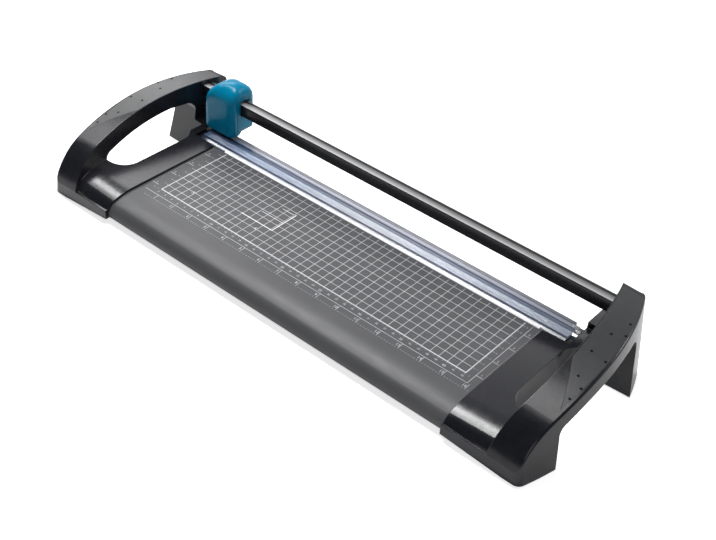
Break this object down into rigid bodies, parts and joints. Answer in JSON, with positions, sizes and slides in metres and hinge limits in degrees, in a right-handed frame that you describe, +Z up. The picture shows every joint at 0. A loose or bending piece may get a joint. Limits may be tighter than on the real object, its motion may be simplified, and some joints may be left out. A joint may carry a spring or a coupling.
{
  "type": "rolling paper cutter",
  "caption": "Low desktop paper cutter: gridded grey bed between two arched black end caps, clear paper clamp, back guide rail and a teal sliding rotary head.",
  "frame": {"origin": "on the desk under the middle of the cutter's outline", "axes": "+X along the bed away from the parked head, +Y from the front edge towards the rail, +Z up"},
  "size_m": [0.629, 0.2148, 0.1016],
  "materials": {
    "plate_grey": "satin mid grey coat with a printed centimetre grid",
    "moulded_black": "plain black moulded plastic",
    "cap_plastic": "fine grained charcoal plastic with a soft sheen",
    "grip_rubber": "soft charcoal inlay with low round nubs",
    "foot_rubber": "black rubber",
    "beam_aluminium": "satin anodised extrusion",
    "rail_aluminium": "dark satin anodised extrusion",
    "mat_plastic": "pale grey cutting strip",
    "clear_plastic": "clear acrylic with fine long grooves",
    "head_plastic": "teal moulded plastic with a soft gloss",
    "bush_plastic": "natural low friction plastic",
    "screw_steel": "plated steel",
    "spring_steel": "spring steel wire",
    "blade_steel": "ground hardened steel with a bevelled edge"
  },
  "bodies": {
    "bed": {"bed_plate": "plate_grey", "bed_tray": "moulded_black", "bed_screws": "screw_steel", "back_beam": "beam_aluminium", "beam_screws": "screw_steel", "cutting_mat": "mat_plastic", "mat_end_stops": "clear_plastic", "clamp_hinge_pins": "screw_steel", "clamp_bracket_right": "moulded_black", "clamp_bracket_left": "moulded_black", "end_cap_right": "cap_plastic", "end_cap_left": "cap_plastic", "grip_pad_right": "grip_rubber", "grip_pad_left": "grip_rubber", "cap_soles": "moulded_black", "rubber_feet": "foot_rubber", "guide_rail": "rail_aluminium", "rail_socket_right": "moulded_black", "rail_socket_left": "moulded_black", "rail_screws": "screw_steel"},
    "clamp": {"paper_clamp": "clear_plastic"},
    "carriage": {"head_carriage": "moulded_black", "slide_bushes": "bush_plastic", "press_springs": "spring_steel"},
    "head": {"head_shell": "head_plastic", "head_side_cover": "head_plastic", "blade_holder": "moulded_black", "guard_cover": "moulded_black", "cover_screws": "screw_steel", "blade_axle": "screw_steel"},
    "wheel": {"cutting_blade": "blade_steel", "blade_hub": "bush_plastic"}
  },
  "joints": [
    {"name": "head_slide", "type": "slide", "parent": "bed", "child": "carriage", "axis": [1, 0, 0], "range_m": [0, 0.4584]},
    {"name": "head_press", "type": "slide", "parent": "carriage", "child": "head", "axis": [0, 0.0576, -0.9983], "range_m": [0, 0.0022], "stiffness_N_per_m": 1500, "springref_m": -0.002, "deforming": ["press_springs"]},
    {"name": "wheel_spin", "type": "hinge", "parent": "head", "child": "wheel", "pos_m": [-0.2325, 0.07876, 0.04855], "axis": [0, 0.9983, 0.0576], "continuous": true},
    {"name": "clamp_lift", "type": "hinge", "parent": "bed", "child": "clamp", "pos_m": [0, 0.06767, 0.0376], "axis": [-1, 0, 0], "range_deg": [0, 7]}
  ]
}
